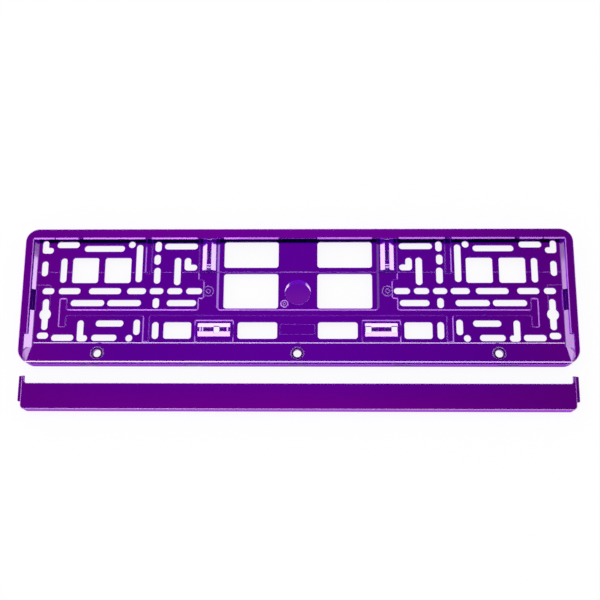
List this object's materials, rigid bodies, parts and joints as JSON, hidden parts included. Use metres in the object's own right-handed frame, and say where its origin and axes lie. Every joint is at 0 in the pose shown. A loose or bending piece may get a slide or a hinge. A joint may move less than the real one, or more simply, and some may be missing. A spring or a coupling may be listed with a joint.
{
  "type": "number plate holder",
  "caption": "Glossy purple plastic number plate holder: a slotted base frame with a raised rim, and a separate clip-on strip that covers its lower band.",
  "frame": {"origin": "centre of the whole part's footprint, at its back face, with the frame and the strip laid out side by side", "axes": "+X along the plate to the reader's right, +Y up the plate from the strip to the frame's upper rim, +Z out of the face"},
  "size_m": [0.5418, 0.18, 0.018],
  "materials": {
    "gloss_plastic": "high gloss, with a lacquered metallic purple colour"
  },
  "bodies": {
    "root": {"base_frame": "gloss_plastic", "retaining_strip": "gloss_plastic"}
  },
  "joints": []
}
